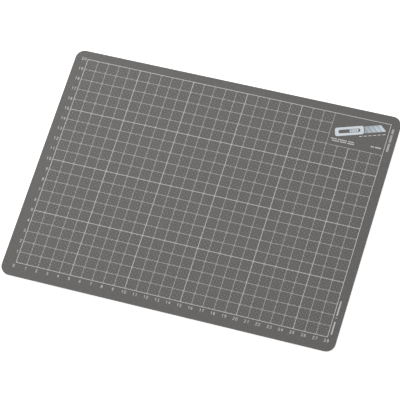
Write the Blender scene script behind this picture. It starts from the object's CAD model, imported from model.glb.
"""Looks for the self-healing cutting mat: its materials, a pale floor, soft light and the camera.

Everything is in metres, in the CAD frame: the mat lies on z = 0 with its printed face up.
"""

import math

import bpy
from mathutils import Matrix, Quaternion, Vector


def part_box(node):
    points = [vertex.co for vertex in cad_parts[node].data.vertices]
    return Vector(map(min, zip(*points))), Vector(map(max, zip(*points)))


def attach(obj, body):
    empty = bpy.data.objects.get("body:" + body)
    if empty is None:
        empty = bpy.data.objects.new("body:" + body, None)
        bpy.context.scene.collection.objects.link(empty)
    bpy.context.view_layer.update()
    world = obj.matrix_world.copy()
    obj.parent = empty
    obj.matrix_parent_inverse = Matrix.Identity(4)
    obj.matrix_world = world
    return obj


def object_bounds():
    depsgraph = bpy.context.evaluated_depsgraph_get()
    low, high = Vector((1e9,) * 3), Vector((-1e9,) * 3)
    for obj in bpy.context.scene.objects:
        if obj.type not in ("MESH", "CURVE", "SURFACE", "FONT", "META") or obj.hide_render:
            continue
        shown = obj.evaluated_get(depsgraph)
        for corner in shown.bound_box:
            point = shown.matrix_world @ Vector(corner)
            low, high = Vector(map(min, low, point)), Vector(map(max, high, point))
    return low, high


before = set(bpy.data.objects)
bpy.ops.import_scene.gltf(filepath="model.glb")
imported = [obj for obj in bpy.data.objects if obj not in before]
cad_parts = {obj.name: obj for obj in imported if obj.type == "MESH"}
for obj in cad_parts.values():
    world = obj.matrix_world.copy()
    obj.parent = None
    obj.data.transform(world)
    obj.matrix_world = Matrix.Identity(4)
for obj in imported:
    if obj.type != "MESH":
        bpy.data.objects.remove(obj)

CAD_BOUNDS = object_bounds()
MILLIMETRE = 0.001

# Colours, as linear red, green and blue
SOFT_PLY = (0.117, 0.112, 0.106)
STIFF_PLY = (0.098, 0.094, 0.090)
WHITE_INK = (0.78, 0.775, 0.76)
EMBLEM_INK = (0.67, 0.725, 0.77)
PALE_BLUE_INK = (0.62, 0.71, 0.78)
FADED_BLUE_INK = (0.36, 0.40, 0.44)
FLOOR_WHITE = (0.92, 0.92, 0.92)
WHITE_LIGHT = (1.0, 1.0, 1.0, 1.0)

# The PVC plies: how large each kind of mark is, and what it does to the shade, roughness or height
SOFT_ROUGHNESS = 0.62
STIFF_ROUGHNESS = 0.55
ROUGHNESS_SIZE = 0.9 * MILLIMETRE
ROUGHNESS_CHANGE = 0.06  # either side of the ply's own
MOTTLE_SIZE = 1.4 * MILLIMETRE
MOTTLE_SHADE = (0.84, 1.16)
CLOUD_SIZE = 60 * MILLIMETRE
CLOUD_SHADE = (0.985, 1.015)
SPECK_SIZE = 0.35 * MILLIMETRE
SPECK_SHADE = (0.95, 1.05)
GRAIN_SIZE = 0.45 * MILLIMETRE
GRAIN_DEPTH = 0.03 * MILLIMETRE
ORANGE_PEEL_SIZE = 2.2 * MILLIMETRE
ORANGE_PEEL_DEPTH = 0.03 * MILLIMETRE
DIE_MARK_SIZE = 0.35 * MILLIMETRE
DIE_MARK_STRETCH = (1, 1, 16)  # drawn out up the mat's sides
DIE_MARK_SHADE = (-0.12, 0.08)  # on top of 1
DIE_MARK_DEPTH = 0.05 * MILLIMETRE

# The inks
FILM_SIZE = 0.8 * MILLIMETRE
FILM_SHADE = (0.93, 1.05)
BLADE_FILM_SHADE = (0.95, 1.04)
INK_ROUGHNESS_SIZE = 0.6 * MILLIMETRE
INK_ROUGHNESS = (0.48, 0.60)
BLADE_ROUGHNESS = (0.42, 0.54)
INK_GRAIN_SIZE = 0.3 * MILLIMETRE
INK_GRAIN_DEPTH = 0.012 * MILLIMETRE
PINHOLE_SIZE = 0.18 * MILLIMETRE
PINHOLE_NOISE = (0.36, 0.28)  # where a pinhole starts, and where it is full
PINHOLE_SHARE = (0.0, 0.55)  # of the ply's colour that shows at those two

# The floor's faint tooth
TOOTH_SIZE = 1.2 * MILLIMETRE
TOOTH_SHADE = (0.995, 1.005)
TOOTH_DEPTH = 0.01 * MILLIMETRE
FLOOR_ROUGHNESS = 0.9

# Noise: its detail, and the two values that most of it lies between
PLAIN_DETAIL = 2.0
FINE_DETAIL = 3.0
NOISE_LOW = 0.3
NOISE_HIGH = 0.7

# CAD nodes
SKINS = ("top_skin", "bottom_skin")
EMBLEM = ("badge_body", "badge_slider")
CORE = "core_sheet"
BLADE = "badge_blade"

# The printed dots: every cell outside the badge's panel holds a checkerboard of them
CELL = 10 * MILLIMETRE
DOTS_ACROSS = 5
DOT_RADIUS = 0.175 * MILLIMETRE
DOT_HEIGHT = 0.04 * MILLIMETRE
DOT_SIDES = 8
PANEL_COLUMNS = 5
PANEL_ROWS = 3

# Camera: angles in degrees, lens in millimetres
CAMERA_AZIMUTH = 36.19
CAMERA_ELEVATION = 65.105
CAMERA_ROLL = -20.70
CAMERA_DISTANCE = 2.0086
CAMERA_LENS = 210.16
CAMERA_AIM = Vector((0.00073, -0.00462, 0.0))  # from the middle of the printed face

# Light: power in watts
WORLD_STRENGTH = 0.64
KEY_DIRECTION = Vector((-0.62, 0.52, 0.78))
KEY_DISTANCE = 1.25
KEY_SIZE = 0.9
KEY_POWER = 7.6
FLOOR_GLOW = 0.60
FLOOR_SIZE = 12.0


# --- Node helpers --------------------------------------------------------------------------------


class Nodes:
    """A short way to write a material's node tree."""

    def __init__(self, name):
        self.material = bpy.data.materials.new(name)
        self.material.use_nodes = True
        self.tree = self.material.node_tree
        self.shader = self.tree.nodes["Principled BSDF"]
        self.place = self.tree.nodes.new("ShaderNodeTexCoord").outputs["Object"]
        self.facing = self.place.node.outputs["Normal"]

    def feed(self, socket, value):
        """Links a socket to another one, or sets it to a number or a colour."""
        if isinstance(value, bpy.types.NodeSocket):
            self.tree.links.new(value, socket)
        else:
            socket.default_value = value

    def maths(self, operation, *values):
        """The result of a Math node."""
        node = self.tree.nodes.new("ShaderNodeMath")
        node.operation = operation
        for socket, value in zip(node.inputs, values):
            self.feed(socket, value)
        return node.outputs[0]

    def product(self, *values):
        """The values, multiplied together."""
        made = values[0]
        for value in values[1:]:
            made = self.maths("MULTIPLY", made, value)
        return made

    def spread(self, value, low, high, start=NOISE_LOW, end=NOISE_HIGH):
        """value, mapped from start and end to low and high."""
        node = self.tree.nodes.new("ShaderNodeMapRange")
        for socket, given in zip(node.inputs, (value, start, end, low, high)):
            self.feed(socket, given)
        return node.outputs[0]

    def noise(self, size, detail=PLAIN_DETAIL, stretch=(1, 1, 1)):
        """Noise from 0 to 1 with features about that many metres across, longer where stretched."""
        scaled = self.tree.nodes.new("ShaderNodeVectorMath")
        scaled.operation = "DIVIDE"
        self.feed(scaled.inputs[0], self.place)
        self.feed(scaled.inputs[1], [size * s for s in stretch])
        node = self.tree.nodes.new("ShaderNodeTexNoise")
        self.feed(node.inputs["Vector"], scaled.outputs[0])
        self.feed(node.inputs["Scale"], 1.0)
        self.feed(node.inputs["Detail"], detail)
        return node.outputs[0]

    def mix(self, share, first, second):
        """A blend of two colours: all first where share is 0, all second where it is 1."""
        # A Mix node has sockets for each kind of value. Inputs 6 and 7 and output 2 are its colours.
        node = self.tree.nodes.new("ShaderNodeMix")
        node.data_type = "RGBA"
        self.feed(node.inputs[0], share)
        self.feed(node.inputs[6], first)
        self.feed(node.inputs[7], second)
        return node.outputs[2]

    def shade(self, colour, value):
        """colour, made lighter or darker by value."""
        node = self.tree.nodes.new("ShaderNodeVectorMath")
        node.operation = "SCALE"
        self.feed(node.inputs[0], colour)
        self.feed(node.inputs["Scale"], value)
        return node.outputs[0]

    def bump(self, height, depth, under=None):
        """A bump that many metres deep, on top of another one."""
        node = self.tree.nodes.new("ShaderNodeBump")
        self.feed(node.inputs["Height"], height)
        self.feed(node.inputs["Distance"], depth)
        if under is not None:
            self.feed(node.inputs["Normal"], under)
        return node.outputs["Normal"]

    def side_share(self):
        """1 on the mat's sides and 0 on its two faces."""
        split = self.tree.nodes.new("ShaderNodeSeparateXYZ")
        self.feed(split.inputs[0], self.facing)
        return self.maths("SUBTRACT", 1.0, self.maths("ABSOLUTE", split.outputs["Z"]))

    def finish(self, colour, roughness, normal):
        """Feeds the shader, and gives back the finished material."""
        self.feed(self.shader.inputs["Base Color"], colour)
        self.feed(self.shader.inputs["Roughness"], roughness)
        self.feed(self.shader.inputs["Normal"], normal)
        return self.material


# --- Materials -----------------------------------------------------------------------------------


def pvc_material(name, colour, roughness):
    """Filled PVC sheet: a matt moulded grain on the faces, and the marks of the die on the sides."""
    nodes = Nodes(name)
    side = nodes.side_share()
    die_marks = nodes.noise(DIE_MARK_SIZE, stretch=DIE_MARK_STRETCH)
    shade = nodes.product(
        nodes.spread(nodes.noise(MOTTLE_SIZE, FINE_DETAIL), *MOTTLE_SHADE),
        nodes.spread(nodes.noise(CLOUD_SIZE), *CLOUD_SHADE),
        nodes.spread(nodes.noise(SPECK_SIZE), *SPECK_SHADE),
        nodes.maths("MULTIPLY_ADD", side, nodes.spread(die_marks, *DIE_MARK_SHADE), 1.0),
    )
    matt = nodes.spread(
        nodes.noise(ROUGHNESS_SIZE),
        roughness - ROUGHNESS_CHANGE,
        roughness + ROUGHNESS_CHANGE,
    )
    grain = nodes.bump(nodes.noise(GRAIN_SIZE, FINE_DETAIL), GRAIN_DEPTH)
    orange_peel = nodes.bump(nodes.noise(ORANGE_PEEL_SIZE), ORANGE_PEEL_DEPTH, grain)
    cut = nodes.bump(nodes.product(die_marks, side), DIE_MARK_DEPTH, orange_peel)
    return nodes.finish(nodes.shade(colour, shade), matt, cut)


def finish_ink(nodes, colour, film_shade, roughness):
    """The uneven film and the fine grain that all inks share."""
    film = nodes.spread(nodes.noise(FILM_SIZE, FINE_DETAIL), *film_shade)
    matt = nodes.spread(nodes.noise(INK_ROUGHNESS_SIZE), *roughness)
    grain = nodes.bump(nodes.noise(INK_GRAIN_SIZE, FINE_DETAIL), INK_GRAIN_DEPTH)
    return nodes.finish(nodes.shade(colour, film), matt, grain)


def ink_material(name, colour):
    """Screen-print ink: thin, matt, a little uneven, with pinholes where the ply shows through."""
    nodes = Nodes(name)
    pinholes = nodes.spread(nodes.noise(PINHOLE_SIZE), *PINHOLE_SHARE, *PINHOLE_NOISE)
    covered = nodes.mix(pinholes, (*colour, 1.0), (*SOFT_PLY, 1.0))
    return finish_ink(nodes, covered, FILM_SHADE, INK_ROUGHNESS)


def blade_ink_material():
    """Pale blue ink that fades towards the cutter's body."""
    nodes = Nodes("pale_blue_ink")
    low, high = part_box(BLADE)
    split = nodes.tree.nodes.new("ShaderNodeSeparateXYZ")
    nodes.feed(split.inputs[0], nodes.place)
    along = nodes.spread(split.outputs["X"], 0.0, 1.0, low.x, high.x)
    colour = nodes.mix(along, (*FADED_BLUE_INK, 1.0), (*PALE_BLUE_INK, 1.0))
    return finish_ink(nodes, colour, BLADE_FILM_SHADE, BLADE_ROUGHNESS)


def floor_material():
    """A white light table with a faint tooth, which keeps shadows off the backdrop."""
    nodes = Nodes("light_table")
    tooth = nodes.noise(TOOTH_SIZE)
    colour = nodes.shade(FLOOR_WHITE, nodes.spread(tooth, *TOOTH_SHADE))
    nodes.shader.inputs["Emission Color"].default_value = WHITE_LIGHT
    nodes.shader.inputs["Emission Strength"].default_value = FLOOR_GLOW
    return nodes.finish(colour, FLOOR_ROUGHNESS, nodes.bump(tooth, TOOTH_DEPTH))


def paint(node, material):
    """Gives a CAD node its material."""
    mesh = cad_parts[node].data
    mesh.materials.clear()
    mesh.materials.append(material)


def paint_mat(white):
    """Paints every CAD node: the plies, the emblem, and the rest in white ink."""
    soft = pvc_material("soft_pvc", SOFT_PLY, SOFT_ROUGHNESS)
    stiff = pvc_material("stiff_pvc", STIFF_PLY, STIFF_ROUGHNESS)
    emblem = ink_material("emblem_ink", EMBLEM_INK)
    special = {BLADE: blade_ink_material(), CORE: stiff}
    special.update({node: soft for node in SKINS})
    special.update({node: emblem for node in EMBLEM})
    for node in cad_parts:
        paint(node, special.get(node, white))


# --- Printed dots --------------------------------------------------------------------------------


def dot_centres():
    """The dots' places: in each cell, every second place of a square of five by five."""
    low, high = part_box("border_line")
    middle = (low + high) / 2
    columns, rows = round((high.x - low.x) / CELL), round((high.y - low.y) / CELL)
    left, lower = middle.x - columns * CELL / 2, middle.y - rows * CELL / 2
    pitch = CELL / DOTS_ACROSS
    for column in range(columns):
        for row in range(rows):
            if column >= columns - PANEL_COLUMNS and row >= rows - PANEL_ROWS:
                continue
            for place in range(0, DOTS_ACROSS * DOTS_ACROSS, 2):
                along, across = place % DOTS_ACROSS, place // DOTS_ACROSS
                yield (
                    left + column * CELL + (along + 0.5) * pitch,
                    lower + row * CELL + (across + 0.5) * pitch,
                )


def add_dots(material):
    """Printed dots of ink, each a low dome with a flat base on the top ply."""
    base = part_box("top_skin")[1].z
    turns = [2 * math.pi * n / DOT_SIDES for n in range(DOT_SIDES)]
    rim = [(DOT_RADIUS * math.cos(turn), DOT_RADIUS * math.sin(turn)) for turn in turns]
    points, faces = [], []
    for x, y in dot_centres():
        first = len(points)
        top = first + DOT_SIDES
        points += [(x + across, y + up, base) for across, up in rim]
        points.append((x, y, base + DOT_HEIGHT))
        faces.append(tuple(range(top - 1, first - 1, -1)))
        faces += [(first + n, first + (n + 1) % DOT_SIDES, top) for n in range(DOT_SIDES)]
    mesh = bpy.data.meshes.new("two_millimetre_dots")
    mesh.from_pydata(points, [], faces)
    mesh.materials.append(material)
    dots = bpy.data.objects.new("two_millimetre_dots", mesh)
    bpy.context.scene.collection.objects.link(dots)
    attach(dots, "root")


# --- Floor, light and camera ---------------------------------------------------------------------


def add_floor():
    half = FLOOR_SIZE / 2
    mesh = bpy.data.meshes.new("floor")
    corners = [(-half, -half, 0), (half, -half, 0), (half, half, 0), (-half, half, 0)]
    mesh.from_pydata(corners, [], [(0, 1, 2, 3)])
    mesh.materials.append(floor_material())
    floor = bpy.data.objects.new("floor", mesh)
    bpy.context.scene.collection.objects.link(floor)


def add_light():
    scene = bpy.context.scene
    scene.view_settings.view_transform = "Standard"
    world = bpy.data.worlds.new("studio")
    world.use_nodes = True
    background = world.node_tree.nodes["Background"]
    background.inputs["Color"].default_value = WHITE_LIGHT
    background.inputs["Strength"].default_value = WORLD_STRENGTH
    scene.world = world
    key = bpy.data.lights.new("key", "AREA")
    key.size = KEY_SIZE
    key.energy = KEY_POWER
    lamp = bpy.data.objects.new("key", key)
    towards = KEY_DIRECTION.normalized()
    lamp.location = towards * KEY_DISTANCE
    lamp.rotation_mode = "QUATERNION"
    lamp.rotation_quaternion = (-towards).to_track_quat("-Z", "Y")
    scene.collection.objects.link(lamp)


def add_camera():
    azimuth, elevation = math.radians(CAMERA_AZIMUTH), math.radians(CAMERA_ELEVATION)
    level = math.cos(elevation)
    back = Vector((math.sin(azimuth) * level, -math.cos(azimuth) * level, math.sin(elevation)))
    low, high = CAD_BOUNDS
    middle = Vector(((low.x + high.x) / 2, (low.y + high.y) / 2, high.z))
    camera = bpy.data.objects.new("camera", bpy.data.cameras.new("camera"))
    camera.data.lens = CAMERA_LENS
    camera.location = middle + CAMERA_AIM + back * CAMERA_DISTANCE
    roll = Quaternion((0, 0, 1), math.radians(CAMERA_ROLL))
    camera.rotation_mode = "QUATERNION"
    camera.rotation_quaternion = (-back).to_track_quat("-Z", "Y") @ roll
    bpy.context.scene.collection.objects.link(camera)
    bpy.context.scene.camera = camera


white_ink = ink_material("white_ink", WHITE_INK)
paint_mat(white_ink)
add_dots(white_ink)
add_floor()
add_light()
add_camera()
